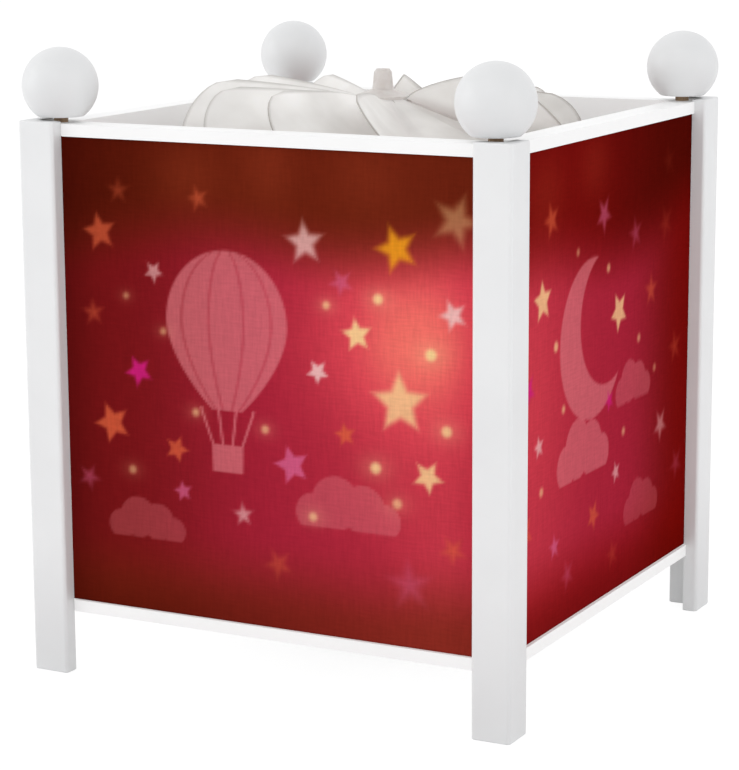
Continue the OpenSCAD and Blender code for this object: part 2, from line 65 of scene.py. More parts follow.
# ---- Camera and studio ------------------------------------------------------------------
# A product photograph: a long lens a little above the lamp and to its right, a pale
# sweep under it, large soft boxes on both sides, and a dimmer wall behind the camera.
CAMERA_AT = (0.37513, -0.72894, 0.24815)
CAMERA_YAW, CAMERA_DIP, CAMERA_ROLL = radians(27.566), radians(11.325), radians(-0.312)
CAMERA_LENS, CAMERA_SENSOR = 120.7, 36
CLIP_NEAR, CLIP_FAR = 0.05, 50

camera_data = bpy.data.cameras.new("camera")
camera = bpy.data.objects.new("camera", camera_data)
scene.collection.objects.link(camera)
camera_data.lens, camera_data.sensor_width = CAMERA_LENS, CAMERA_SENSOR
camera_data.clip_start, camera_data.clip_end = CLIP_NEAR, CLIP_FAR
ahead = Vector((
    -sin(CAMERA_YAW) * cos(CAMERA_DIP), cos(CAMERA_YAW) * cos(CAMERA_DIP), -sin(CAMERA_DIP)))
level = Vector((cos(CAMERA_YAW), sin(CAMERA_YAW), 0))
upright = level.cross(ahead)
across = level * cos(CAMERA_ROLL) + upright * sin(CAMERA_ROLL)
upward = upright * cos(CAMERA_ROLL) - level * sin(CAMERA_ROLL)
turned = Matrix((across, upward, -ahead)).transposed().to_4x4()
camera.matrix_world = Matrix.Translation(CAMERA_AT) @ turned
scene.camera = camera

ROOM_BRIGHT, ROOM_DIM = 0.9, 0.54
ROOM_COLOUR = (0.985, 0.99, 1, 1)
DIM_WALL = (0.45, -0.86, 0.24)


def seen_plainly(nodes, links):
    """1 where the camera, glass or metal sees a thing, and 0 where it only lights the lamp."""
    path = nodes.new("ShaderNodeLightPath")
    through = nodes.new("ShaderNodeMath")
    through.operation = "MAXIMUM"
    links.new(path.outputs["Is Camera Ray"], through.inputs[0])
    links.new(path.outputs["Is Transmission Ray"], through.inputs[1])
    mirrored = nodes.new("ShaderNodeMath")
    mirrored.operation = "MAXIMUM"
    links.new(through.outputs[0], mirrored.inputs[0])
    links.new(path.outputs["Is Glossy Ray"], mirrored.inputs[1])
    return mirrored.outputs[0]


world = bpy.data.worlds.new("studio")
scene.world = world
world.use_nodes = True
nodes, links = world.node_tree.nodes, world.node_tree.links
nodes.clear()
seen_sky = nodes.new("ShaderNodeBackground")
seen_sky.inputs["Color"].default_value = (1, 1, 1, 1)
seen_sky.inputs["Strength"].default_value = 1
room_light = nodes.new("ShaderNodeBackground")
room_light.inputs["Color"].default_value = ROOM_COLOUR
aim = nodes.new("ShaderNodeTexCoord")
facing = nodes.new("ShaderNodeVectorMath")
facing.operation = "DOT_PRODUCT"
facing.inputs[1].default_value = DIM_WALL
room_tone = nodes.new("ShaderNodeMapRange")
room_tone.inputs["To Min"].default_value = ROOM_BRIGHT
room_tone.inputs["To Max"].default_value = ROOM_DIM
links.new(aim.outputs["Generated"], facing.inputs[0])
links.new(facing.outputs["Value"], room_tone.inputs["Value"])
links.new(room_tone.outputs["Result"], room_light.inputs["Strength"])
sky_mix = nodes.new("ShaderNodeMixShader")
links.new(seen_plainly(nodes, links), sky_mix.inputs[0])
links.new(room_light.outputs[0], sky_mix.inputs[1])
links.new(seen_sky.outputs[0], sky_mix.inputs[2])
sky_out = nodes.new("ShaderNodeOutputWorld")
links.new(sky_mix.outputs[0], sky_out.inputs[0])


def soft_box(name, at, size, watts, aim=(0, 0, 0.1)):
    """A square soft box that looks at the lamp."""
    data = bpy.data.lights.new(name, "AREA")
    data.size, data.energy = size, watts
    box = bpy.data.objects.new(name, data)
    scene.collection.objects.link(box)
    box.location = at
    box.rotation_mode = "QUATERNION"
    box.rotation_quaternion = (Vector(at) - Vector(aim)).to_track_quat("Z", "Y")


soft_box("soft_box_left", (-2.2, -1.2, 0.8), 1.6, 14)
soft_box("soft_box_right", (2.2, -0.5, 0.7), 1.6, 8)
soft_box("soft_box_front", (0.5, -1.8, 1.6), 1.8, 9)

# The sweep: the camera sees it mostly as lit paper, so that it ends in white, with the
# lamp's soft shadow on the rest.
SWEEP_HALF = 6
PAPER = (0.9, 0.9, 0.9, 1)
LIT_PAPER, LIT_SHARE = 1.16, 0.75
bm = bmesh.new()
bmesh.ops.create_grid(bm, x_segments=2, y_segments=2, size=SWEEP_HALF)
floor_mesh = bpy.data.meshes.new("floor")
bm.to_mesh(floor_mesh)
bm.free()
floor = bpy.data.objects.new("floor", floor_mesh)
scene.collection.objects.link(floor)
sweep = bpy.data.materials.new("pale_sweep")
sweep.use_nodes = True
nodes, links = sweep.node_tree.nodes, sweep.node_tree.links
nodes.clear()
lit = nodes.new("ShaderNodeMath")
lit.operation = "MULTIPLY"
lit.inputs[1].default_value = LIT_SHARE
links.new(seen_plainly(nodes, links), lit.inputs[0])
paper = nodes.new("ShaderNodeBsdfDiffuse")
paper.inputs["Color"].default_value = PAPER
lit_paper = nodes.new("ShaderNodeEmission")
lit_paper.inputs["Color"].default_value = (1, 1, 1, 1)
lit_paper.inputs["Strength"].default_value = LIT_PAPER
paper_mix = nodes.new("ShaderNodeMixShader")
links.new(lit.outputs[0], paper_mix.inputs[0])
links.new(paper.outputs[0], paper_mix.inputs[1])
links.new(lit_paper.outputs[0], paper_mix.inputs[2])
paper_out = nodes.new("ShaderNodeOutputMaterial")
links.new(paper_mix.outputs[0], paper_out.inputs[0])
floor_mesh.materials.append(sweep)
floor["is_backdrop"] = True

# ---- Corner posts -----------------------------------------------------------------------
# Four L-section posts, planed from softwood with eased edges and sprayed with white
# paint; they stand on the table and carry the top frame and the base board.
POST_T = 0.0048
POST_EDGE_R, POST_END_R = 0.0012, 0.0004
POST_SHARP = 50
PAINT_WHITE = (0.855, 0.858, 0.86)
PAINT_SHADE = (0.82, 0.823, 0.826)
# Painted shade: the posts' feet grey towards the floor, up to FOOT_TO, where the light falls off.
FOOT_PAINTED_SHADE = (0.74, 0.742, 0.745)
FOOT_TO = 0.05
WOOD_SCALE, WOOD_STRETCH, WOOD_DEPTH = 620, 0.06, 0.00012
PEEL_SCALE, PEEL_DEPTH = 2600, 0.00005
TONE_SCALE = 38


def start_finish(name):
    """A material with a Principled shader: (material, nodes, links, shader, coordinates)."""
    material = bpy.data.materials.new(name)
    material.use_nodes = True
    nodes, links = material.node_tree.nodes, material.node_tree.links
    shader = nodes["Principled BSDF"]
    place = nodes.new("ShaderNodeTexCoord")
    return material, nodes, links, shader, place


def grain(nodes, links, place, scale, detail=4, stretch=(1, 1, 1)):
    """A noise on object coordinates, stretched along the axes where stretch is below 1."""
    mapping = nodes.new("ShaderNodeMapping")
    mapping.inputs["Scale"].default_value = stretch
    links.new(place.outputs["Object"], mapping.inputs["Vector"])
    noise = nodes.new("ShaderNodeTexNoise")
    noise.inputs["Scale"].default_value = scale
    noise.inputs["Detail"].default_value = detail
    links.new(mapping.outputs["Vector"], noise.inputs["Vector"])
    return noise


def tint(nodes, links, source, low, high, start=0.3, end=0.7):
    """A colour ramp from low to high over a texture's range."""
    ramp = nodes.new("ShaderNodeValToRGB")
    first, last = ramp.color_ramp.elements
    first.position, last.position = start, end
    first.color, last.color = (*low, 1), (*high, 1)
    links.new(source, ramp.inputs["Fac"])
    return ramp.outputs["Color"]


def roughen(nodes, links, shader, source, low, high):
    """Sets a shader's roughness between low and high by the middle of a noise's values."""
    ranged = nodes.new("ShaderNodeMapRange")
    ranged.inputs["From Min"].default_value = 0.3
    ranged.inputs["From Max"].default_value = 0.7
    ranged.inputs["To Min"].default_value = low
    ranged.inputs["To Max"].default_value = high
    links.new(source, ranged.inputs["Value"])
    links.new(ranged.outputs["Result"], shader.inputs["Roughness"])


def relief(nodes, links, shader, heights):
    """Chains (texture output, depth in metres, strength) into bump on the shader."""
    last = None
    for height, depth, strength in heights:
        bump = nodes.new("ShaderNodeBump")
        bump.inputs["Distance"].default_value = depth
        bump.inputs["Strength"].default_value = strength
        links.new(height, bump.inputs["Height"])
        if last:
            links.new(last.outputs["Normal"], bump.inputs["Normal"])
        last = bump
    links.new(last.outputs["Normal"], shader.inputs["Normal"])


def white_paint(name, along, shade=PAINT_SHADE, white=PAINT_WHITE, painted_shade_below=None):
    """Sprayed paint on planed wood: fine orange peel, the grain showing through it along one axis,
    and painted shade below a height, where the paint greys towards the foot as the light falls off
    by the floor."""
    material, nodes, links, shader, place = start_finish(name)
    run = [1, 1, 1]
    run["xyz".index(along)] = WOOD_STRETCH
    wood = grain(nodes, links, place, WOOD_SCALE, 5, run)
    peel = grain(nodes, links, place, PEEL_SCALE, 2)
    tones = grain(nodes, links, place, TONE_SCALE, 3)
    tone = tint(nodes, links, tones.outputs["Fac"], shade, white)
    # Painted shade: below the given height the tone greys towards the foot.
    if painted_shade_below:
        height = nodes.new("ShaderNodeSeparateXYZ")
        links.new(place.outputs["Object"], height.inputs["Vector"])
        above_painted_shade = nodes.new("ShaderNodeMapRange")
        above_painted_shade.interpolation_type = "SMOOTHSTEP"
        above_painted_shade.inputs["From Max"].default_value = painted_shade_below
        links.new(height.outputs["Z"], above_painted_shade.inputs["Value"])
        foot_tone = nodes.new("ShaderNodeMix")
        foot_tone.data_type = "RGBA"
        foot_tone.inputs["A"].default_value = (*FOOT_PAINTED_SHADE, 1)
        links.new(above_painted_shade.outputs["Result"], foot_tone.inputs["Factor"])
        links.new(tone, foot_tone.inputs["B"])
        tone = foot_tone.outputs["Result"]
    links.new(tone, shader.inputs["Base Color"])
    roughen(nodes, links, shader, peel.outputs["Fac"], 0.36, 0.5)
    relief(nodes, links, shader, [
        (wood.outputs["Fac"], WOOD_DEPTH, 0.28), (peel.outputs["Fac"], PEEL_DEPTH, 0.22)])
    return material


def finish_mesh(name, bm, material, body, node=None, crease=35):
    """Makes a bmesh a piece: its mesh, shading and material, and what the frame has to know."""
    mesh = bpy.data.meshes.new(name)
    bm.to_mesh(mesh)
    bm.free()
    mesh.shade_smooth()
    mesh.set_sharp_from_angle(angle=radians(crease))
    mesh.materials.append(material)
    piece = bpy.data.objects.new(name, mesh)
    scene.collection.objects.link(piece)
    if node:
        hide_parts(node)
    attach(piece, body)
    return piece


def ease_edges(bm, edges, offset, segments):
    """Rounds edges, as sanding and thick paint do."""
    bmesh.ops.bevel(
        bm, geom=edges, offset=offset, segments=segments, profile=0.5, affect="EDGES",
        material=-1)


CORNERS = {
    "front_left": (-1, -1), "front_right": (1, -1), "back_right": (1, 1), "back_left": (-1, 1)}
NEAR, LEVEL = 0.0001, 1e-6
paint_upright = white_paint("white_paint_upright", "z", painted_shade_below=FOOT_TO)
for corner, (side_x, side_y) in CORNERS.items():
    low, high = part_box(f"corner_post_{corner}")
    leg, tall = high.x - low.x, high.z
    half_w = max(abs(low.x), abs(high.x))
    bm = bmesh.new()
    outline = [(0, 0), (leg, 0), (leg, POST_T), (POST_T, POST_T), (POST_T, leg), (0, leg)]
    foot = bm.faces.new([bm.verts.new((x - half_w, y - half_w, 0)) for x, y in outline])
    pulled = bmesh.ops.extrude_face_region(bm, geom=[foot])
    raised = [v for v in pulled["geom"] if isinstance(v, bmesh.types.BMVert)]
    bmesh.ops.translate(bm, verts=raised, vec=(0, 0, tall))
    bmesh.ops.recalc_face_normals(bm, faces=bm.faces)
    upright_edges = [e for e in bm.edges if abs(e.verts[0].co.z - e.verts[1].co.z) > tall / 2]
    on_faces = [e for e in upright_edges if min(e.verts[0].co.xy) < NEAR - half_w]
    outer = [e for e in on_faces if sum(e.verts[0].co.xy) < leg - 2 * half_w + NEAR]
    ease_edges(bm, outer, POST_EDGE_R, 5)
    rims = [e for e in bm.edges if abs(e.verts[0].co.z - e.verts[1].co.z) < LEVEL]
    ease_edges(bm, rims, POST_END_R, 2)
    bmesh.ops.scale(bm, verts=bm.verts, vec=(-side_x, -side_y, 1))
    bmesh.ops.recalc_face_normals(bm, faces=bm.faces)
    post = finish_mesh(
        f"post_{corner}", bm, paint_upright, "case", f"corner_post_{corner}",
        POST_SHARP)
    post.modifiers.new("even_faces", "WEIGHTED_NORMAL").keep_sharp = True

# ---- Corner balls -----------------------------------------------------------------------
# Turned wooden balls, sprayed with the posts, with a flat underneath coloured near black as painted
# shadow for the gap below it. Each is pushed on a beech dowel that stands in the top frame, a thin
# gap over its post.
BALL_R = 0.01169
BALL_RIM = 0.0005
BALL_SHARP = 60
FLAT_FACING = -0.99
BALL_WHITE = (0.795, 0.798, 0.801)
BALL_SHADE = (0.765, 0.768, 0.771)
BALL_SHEEN = 0.35
FLAT_SHADE_DARK, FLAT_SHADE_LIGHT = (0.03, 0.024, 0.02), (0.075, 0.06, 0.05)


def base_colour(nodes, links, shader, source, dark, light):
    """Colours a shader from dark to light by a texture."""
    links.new(tint(nodes, links, source, dark, light), shader.inputs["Base Color"])


paint_ball = white_paint("white_paint_turned", "x", BALL_SHADE, BALL_WHITE)
paint_ball.node_tree.nodes["Principled BSDF"].inputs["Sheen Weight"].default_value = BALL_SHEEN
# Painted shade: the flat under each ball is near black, for the shadow in the gap over its post.
shaded_flat, nodes, links, shader, place = start_finish("painted_shade_ball_flat")
flat_noise = grain(nodes, links, place, 1400, 5)
base_colour(nodes, links, shader, flat_noise.outputs["Fac"], FLAT_SHADE_DARK, FLAT_SHADE_LIGHT)
roughen(nodes, links, shader, flat_noise.outputs["Fac"], 0.7, 0.9)
relief(nodes, links, shader, [(flat_noise.outputs["Fac"], 0.0001, 0.5)])
for corner in CORNERS:
    low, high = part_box(f"corner_ball_{corner}")
    centre = Vector(((low.x + high.x) / 2, (low.y + high.y) / 2, high.z - BALL_R))
    bm = bmesh.new()
    bmesh.ops.create_uvsphere(bm, u_segments=72, v_segments=48, radius=BALL_R)
    flat_z = low.z - centre.z
    cut = bmesh.ops.bisect_plane(
        bm, geom=bm.verts[:] + bm.edges[:] + bm.faces[:], dist=LEVEL,
        plane_co=(0, 0, flat_z), plane_no=(0, 0, 1), clear_inner=True)
    rim = [e for e in cut["geom_cut"] if isinstance(e, bmesh.types.BMEdge)]
    bmesh.ops.holes_fill(bm, edges=rim, sides=0)
    rim = [e for e in bm.edges if all(abs(v.co.z - flat_z) < LEVEL for v in e.verts)]
    ease_edges(bm, rim, BALL_RIM, 3)
    bmesh.ops.translate(bm, verts=bm.verts, vec=centre)
    bmesh.ops.recalc_face_normals(bm, faces=bm.faces)
    underneath = [f for f in bm.faces if f.calc_center_median().z < low.z + 10 * LEVEL]
    for f in underneath:
        if f.normal.z < FLAT_FACING:
            f.material_index = 1
    ball = finish_mesh(
        f"ball_{corner}", bm, paint_ball, "case", f"corner_ball_{corner}",
        BALL_SHARP)
    ball.data.materials.append(shaded_flat)


def dress(node, material):
    """Gives a CAD node that keeps its shape its finish."""
    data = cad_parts[node].data
    data.materials.clear()
    data.materials.append(material)


# The dowels: beech rod, cut to length and left bare.
BEECH_DARK, BEECH_LIGHT = (0.3, 0.18, 0.1), (0.48, 0.32, 0.19)
beech, nodes, links, shader, place = start_finish("beech")
rod = grain(nodes, links, place, 900, 5, (1, 1, 0.07))
base_colour(nodes, links, shader, rod.outputs["Fac"], BEECH_DARK, BEECH_LIGHT)
roughen(nodes, links, shader, rod.outputs["Fac"], 0.5, 0.75)
relief(nodes, links, shader, [(rod.outputs["Fac"], 0.0001, 0.4)])
dress("ball_dowels", beech)

# ---- Top frame --------------------------------------------------------------------------
# Four planed rails that make a square ring between the posts. Each has a lip that covers
# the upper edge of a printed sheet; the long ones run through and hold the balls' dowels.
RAIL_WHITE = (0.79, 0.788, 0.785)
RAIL_SHADE = (0.765, 0.762, 0.758)
# Painted light: the rails' paint glows a little, lifting their shaded inner faces.
RAIL_PAINTED_GLOW = 0.23
paint_rail_x = white_paint("white_paint_along_x", "x", RAIL_SHADE, RAIL_WHITE)
paint_rail_y = white_paint("white_paint_along_y", "y", RAIL_SHADE, RAIL_WHITE)
for paint in (paint_rail_x, paint_rail_y):
    shader = paint.node_tree.nodes["Principled BSDF"]
    shader.inputs["Emission Color"].default_value = (*RAIL_WHITE, 1)
    shader.inputs["Emission Strength"].default_value = RAIL_PAINTED_GLOW
for side in ("front", "back"):
    dress(f"top_rail_{side}", paint_rail_x)
for side in ("left", "right"):
    dress(f"top_rail_{side}", paint_rail_y)

# ---- Base board -------------------------------------------------------------------------
# A fibreboard square between the posts, with lips that the sheets stand on and a ring of
# air holes round the lampholder, painted as the rails are.
# With the rails' paint it takes their painted glow too.
dress("base_board", paint_rail_x)

# ---- Printed sheets ---------------------------------------------------------------------
# Four stiff translucent films, 152.4 by 145.5 mm, slid behind the posts and the lips. Each is
# printed in crimson, with soft stars in pale pink, magenta and yellow over it: a balloon floats on
# the front and back sheets, and a moon over clouds on the other two. The bulb's light is painted
# into the colours as a warm glow, with a dark band at the top as painted shadow of the turbine
# collar, and faint orange painted glows in that band.
PRINT_COLUMNS, PRINT_ROWS = 218, 208
INKS = {
    "night": (0.265, 0.045, 0.02), "deep": (0.43, 0.072, 0.072), "crimson": (0.65, 0.135, 0.215),
    "rose": (0.85, 0.27, 0.32), "coral": (0.95, 0.44, 0.4), "brown": (0.42, 0.145, 0.055),
    "blush": (0.86, 0.5, 0.52), "white": (0.94, 0.78, 0.76), "pink": (0.86, 0.42, 0.6),
    "magenta": (0.82, 0.13, 0.5), "yellow": (0.97, 0.66, 0.12), "cream": (0.97, 0.83, 0.58),
    "orange": (0.85, 0.38, 0.24), "umber": (0.46, 0.03, 0.008)}


def ease(low, high, value):
    """0 below low, 1 above high, smooth between them."""
    t = np.clip((value - low) / (high - low), 0, 1)
    return t * t * (3 - 2 * t)


def lay(colour, ink, cover):
    """Prints an ink over the colours so far, by a cover of 0 to 1."""
    return colour + (np.array(INKS[ink]) - colour) * cover[:, None]


# How widely a star's edge fades, and its inner corners' distance as a share of its tips'.
BLUR = 1.5
NOTCH = 0.5


def star(x, z, cx, cz, size, turn, soft):
    """Cover of a five-pointed star, size from its middle to a tip."""
    angle = np.arctan2(x - cx, z - cz) + turn
    radius = np.hypot(x - cx, z - cz)
    fold = np.abs((angle + pi / 5) % (2 * pi / 5) - pi / 5)
    notch = NOTCH * size
    edge = Vector((notch * cos(pi / 5) - size, notch * sin(pi / 5)))
    out = Vector((edge.y, -edge.x)).normalized()
    away = (radius * np.cos(fold) - size) * out.x + radius * np.sin(fold) * out.y
    return 1 - ease(-BLUR * soft, BLUR * soft, away)


def disc(x, z, cx, cz, size, soft):
    """Cover of a round spot."""
    return 1 - ease(size - soft, size + soft, np.hypot(x - cx, z - cz))


def cloud(x, z, cx, cz, size):
    """Cover of a cloud: four puffs on a flat foot."""
    puffs = [(-1.25, 0.05, 0.62), (-0.45, 0.42, 0.86), (0.5, 0.3, 0.78), (1.25, 0.0, 0.56)]
    cover = np.zeros_like(x)
    for dx, dz, r in puffs:
        cover = np.maximum(cover, disc(x, z, cx + dx * size, cz + dz * size, r * size, 0.35))
    return cover * ease(-0.35, 0.35, z - (cz - 0.42 * size))


def balloon(x, z, cx, cz, size):
    """Cover of a hot-air balloon: an envelope, four ropes and a basket."""
    dx, dz = x - cx, z - cz
    narrow = np.where(dz < 0, 1 - 0.46 * np.clip(-dz / (1.35 * size), 0, 1) ** 1.7, 1)
    tall = np.where(dz < 0, 1.35, 1.02)
    away = np.hypot(dx / (narrow * 0.97), dz / tall) - size
    envelope = (1 - ease(-0.5, 0.5, away)) * ease(-0.3, 0.3, dz + 1.24 * size)
    half_basket = (0.25 + 0.02 * (dz / size + 1.8)) * size
    basket = 1 - ease(-0.35, 0.35, np.abs(dx) - half_basket)
    basket = basket * (1 - ease(-0.35, 0.35, np.abs(dz + 1.92 * size) - 0.2 * size))
    ropes = np.zeros_like(x)
    for start in (-0.42, -0.14, 0.14, 0.42):
        line = start * size * (1 - 0.45 * np.clip((-1.24 * size - dz) / (0.5 * size), 0, 1))
        ropes = np.maximum(ropes, 1 - ease(0.1, 0.75, np.abs(dx - line)))
    ropes = ropes * ease(-0.2, 0.2, -1.2 * size - dz) * ease(-0.2, 0.2, dz + 1.75 * size)
    seams = np.zeros_like(x)
    for gore in (-0.72, -0.28, 0.28, 0.72):
        bow = gore * size * narrow * np.sqrt(np.clip(1 - (dz / (tall * size)) ** 2, 0.1, 1))
        seams = np.maximum(seams, 1 - ease(0.2, 0.75, np.abs(dx - bow)))
    return np.maximum(np.maximum(envelope * (1 - 0.3 * seams), basket), ropes)


def crescent(x, z, cx, cz, size):
    """Cover of a crescent moon."""
    bite = disc(x, z, cx + 0.46 * size, cz + 0.2 * size, 0.84 * size, 0.5)
    return disc(x, z, cx, cz, size, 0.5) * (1 - bite)


def glow(x, z, cx, cz, wide, high):
    """A soft round light, 1 in its middle."""
    return np.exp(-(((x - cx) / wide) ** 2 + ((z - cz) / high) ** 2))


def balloon_print(x, z):
    """The front and back sheets, in mm: x from the middle, which the posts cover past 70 or
    so, and z from the sheet's foot."""
    # Painted light: the bulb's glow through the film, brighter to the right and round a hot spot.
    painted_bulb_light = 0.11 + 0.38 * ease(-62, 20, x) + 0.18 * ease(10, 60, x) - 0.06 * ease(58, 72, x)
    painted_bulb_light = painted_bulb_light + 0.38 * glow(x, z, 50, 90, 22, 22) + 0.14 * glow(x, z, 30, 92, 40, 34)
    colour = np.tile(np.array(INKS["deep"]), (len(x), 1))
    colour = lay(colour, "crimson", ease(0, 0.52, painted_bulb_light))
    colour = lay(colour, "rose", ease(0.42, 0.86, painted_bulb_light))
    colour = lay(colour, "coral", ease(0.78, 1.16, painted_bulb_light))
    # Painted shadow: a dark band at the top, where the turbine collar shades the film.
    painted_collar_shadow = ease(104, 131, z + 4 * np.sin(x / 21) - 0.04 * x)
    colour = lay(colour, "brown", painted_collar_shadow * 0.9)
    colour = lay(colour, "night", painted_collar_shadow * (0.2 + 0.5 * ease(-10, -70, x)))
    # Painted light: faint orange glows in that band.
    painted_glow_spots = glow(x, z, 2, 140, 9, 13) + glow(x, z, -26, 136, 12, 10)
    painted_glow_spots = painted_glow_spots + 0.8 * glow(x, z, 34, 138, 12, 12)
    colour = lay(colour, "orange", 0.14 * painted_glow_spots)
    colour = lay(colour, "brown", 0.66 * ease(30, 2, z - 0.03 * x))
    colour = lay(colour, "night", 0.42 * ease(18, -6, z) * ease(60, -60, x))
    colour = lay(colour, "night", 0.3 * ease(-52, -72, x))
    colour = lay(colour, "crimson", 0.3 * glow(x, z, 36, 22, 16, 12))
    colour = lay(colour, "blush", 0.64 * balloon(x, z, -13, 92, 21.5))
    colour = lay(colour, "blush", 0.36 * cloud(x, z, 28, 37, 9.5))
    colour = lay(colour, "blush", 0.3 * cloud(x, z, -42, 26, 7.5))
    for cx, cz, size, turn, soft, ink, cover in [
            (-57, 117, 5.6, 0.2, 0.6, "orange", 0.66), (-44, 75, 4.6, 0.5, 0.5, "magenta", 0.85),
            (-60, 92, 3.0, 0.1, 0.9, "orange", 0.5), (-38, 106, 3.2, 0.7, 0.4, "white", 0.6),
            (-22, 129, 3.0, 0.3, 0.8, "orange", 0.55), (14, 118, 6.0, 0.1, 0.8, "white", 0.72),
            (26, 107, 3.4, 0.5, 0.7, "pink", 0.5), (44, 118, 6.4, 0.35, 0.9, "yellow", 0.8),
            (63, 127, 6.8, 0.9, 1.2, "cream", 0.4), (31, 92, 4.8, 0.15, 0.5, "cream", 0.9),
            (18, 80, 3.6, 0.6, 0.4, "white", 0.85), (45, 73, 8.8, 0.05, 0.9, "cream", 0.78),
            (62, 100, 4.2, 0.4, 0.6, "white", 0.85), (27, 62, 3.3, 0.2, 0.5, "orange", 0.75),
            (54, 52, 4.8, 0.75, 0.5, "cream", 0.82), (9, 51, 5.8, 0.3, 0.4, "pink", 0.7),
            (-8, 34, 3.0, 0.1, 0.6, "white", 0.6), (-31, 52, 4.0, 0.9, 0.4, "orange", 0.72),
            (-54, 58, 6.2, 0.4, 0.5, "orange", 0.78), (-63, 40, 3.2, 0.8, 0.8, "pink", 0.4),
            (-29, 39, 3.1, 0.2, 0.4, "pink", 0.62), (4, 20, 4.0, 0.5, 0.9, "orange", 0.4),
            (48, 19, 5.2, 0.1, 1.8, "pink", 0.35), (62, 31, 3.4, 0.6, 1.0, "orange", 0.55),
            (-50, 130, 2.6, 0.0, 1.0, "orange", 0.4)]:
        colour = lay(colour, ink, cover * star(x, z, cx, cz, size, turn, soft))
    for cx, cz, size, cover in [
            (38, 103, 1.5, 0.85), (55, 88, 1.7, 0.95), (21, 100, 1.1, 0.7), (60, 66, 1.6, 0.8),
            (37, 53, 1.7, 0.8), (0, 61, 1.2, 0.6), (-35, 88, 1.0, 0.5), (-48, 98, 0.9, 0.45),
            (-24, 64, 1.2, 0.55), (16, 36, 1.3, 0.6), (44, 43, 1.5, 0.6), (-47, 44, 1.2, 0.5)]:
        colour = lay(colour, "cream", cover * disc(x, z, cx, cz, size, 0.9))
        colour = lay(colour, "cream", 0.25 * cover * glow(x, z, cx, cz, 3.2 * size, 2.4 * size))
    return colour


def moon_print(x, z):
    """The sheets on the right and left, measured as the others are."""
    # Painted light: the bulb's glow through the film, brighter to the left.
    painted_bulb_light = 0.72 - 0.16 * ease(-66, 10, x) - 0.42 * ease(0, 68, x)
    painted_bulb_light = painted_bulb_light + 0.1 * glow(x, z, -66, 74, 34, 40)
    colour = np.tile(np.array(INKS["deep"]), (len(x), 1))
    colour = lay(colour, "umber", 0.7 * ease(26, 72, x))
    colour = lay(colour, "crimson", ease(0.05, 0.56, painted_bulb_light))
    colour = lay(colour, "rose", ease(0.5, 0.95, painted_bulb_light))
    # Painted shadow: a dark band at the top, where the turbine collar shades the film.
    painted_collar_shadow = ease(98, 128, z + 5 * np.sin(x / 24 + 1) - 0.06 * x)
    colour = lay(colour, "umber", painted_collar_shadow * 0.8)
    colour = lay(colour, "night", painted_collar_shadow * (0.25 + 0.5 * ease(-30, 60, x)))
    # Painted light: faint orange glows in that band.
    painted_glow_spots = glow(x, z, -48, 132, 14, 12) + glow(x, z, -12, 137, 12, 10)
    colour = lay(colour, "orange", 0.14 * painted_glow_spots)
    colour = lay(colour, "umber", 0.62 * ease(30, 2, z))
    colour = lay(colour, "night", 0.25 * ease(16, -4, z))
    colour = lay(colour, "blush", 0.6 * crescent(x, z, -12, 84, 25))
    colour = lay(colour, "blush", 0.52 * cloud(x, z, -18, 47, 11))
    colour = lay(colour, "blush", 0.36 * cloud(x, z, 22, 62, 8))
    colour = lay(colour, "blush", 0.26 * cloud(x, z, 30, 22, 8))
    for cx, cz, size, turn, soft, ink, cover in [
            (-44, 124, 4.6, 0.3, 0.9, "orange", 0.6), (-50, 101, 6.2, 0.1, 0.5, "cream", 0.78),
            (9, 89, 6.4, 0.5, 0.5, "cream", 0.75), (22, 112, 3.6, 0.2, 1.2, "pink", 0.4),
            (-4, 121, 5.0, 0.7, 0.9, "pink", 0.5), (36, 92, 4.2, 0.0, 1.0, "orange", 0.5),
            (48, 112, 4.0, 0.4, 1.6, "orange", 0.2), (-60, 76, 4.6, 0.6, 0.7, "magenta", 0.8),
            (-52, 58, 3.2, 0.2, 0.5, "white", 0.7), (-62, 34, 5.4, 0.5, 0.7, "orange", 0.6),
            (-40, 25, 3.4, 0.1, 0.6, "pink", 0.6), (-10, 28, 4.4, 0.8, 0.6, "orange", 0.6),
            (8, 38, 3.2, 0.3, 0.5, "white", 0.6), (46, 46, 4.6, 0.6, 0.9, "white", 0.45),
            (58, 70, 3.8, 0.2, 1.3, "orange", 0.35), (61, 30, 3.4, 0.5, 1.4, "pink", 0.3),
            (2, 62, 3.0, 0.4, 0.6, "magenta", 0.7), (50, 132, 3.0, 0.2, 1.6, "orange", 0.12),
            (-30, 14, 3.2, 0.4, 1.2, "pink", 0.35), (6, 12, 3.0, 0.2, 1.3, "orange", 0.3)]:
        colour = lay(colour, ink, cover * star(x, z, cx, cz, size, turn, soft))
    for cx, cz, size, cover in [
            (-40, 86, 1.5, 0.7), (-34, 66, 1.2, 0.6), (0, 104, 1.3, 0.6), (26, 78, 1.3, 0.5),
            (-24, 112, 1.1, 0.45), (40, 66, 1.2, 0.4), (14, 50, 1.3, 0.5), (-50, 44, 1.3, 0.6)]:
        colour = lay(colour, "cream", cover * disc(x, z, cx, cz, size, 0.9))
    return colour


# The film: the inks, over the fine weave of threads that the translucent film shows.
THREAD_SCALE, THREAD_STRETCH, THREAD_DEPTH = 1500, 0.12, 0.00004
THREADS_THIN, THREADS_THICK = 0.7, 1.3
THREAD_DARK, THREAD_LIGHT = 0.79, 0.92
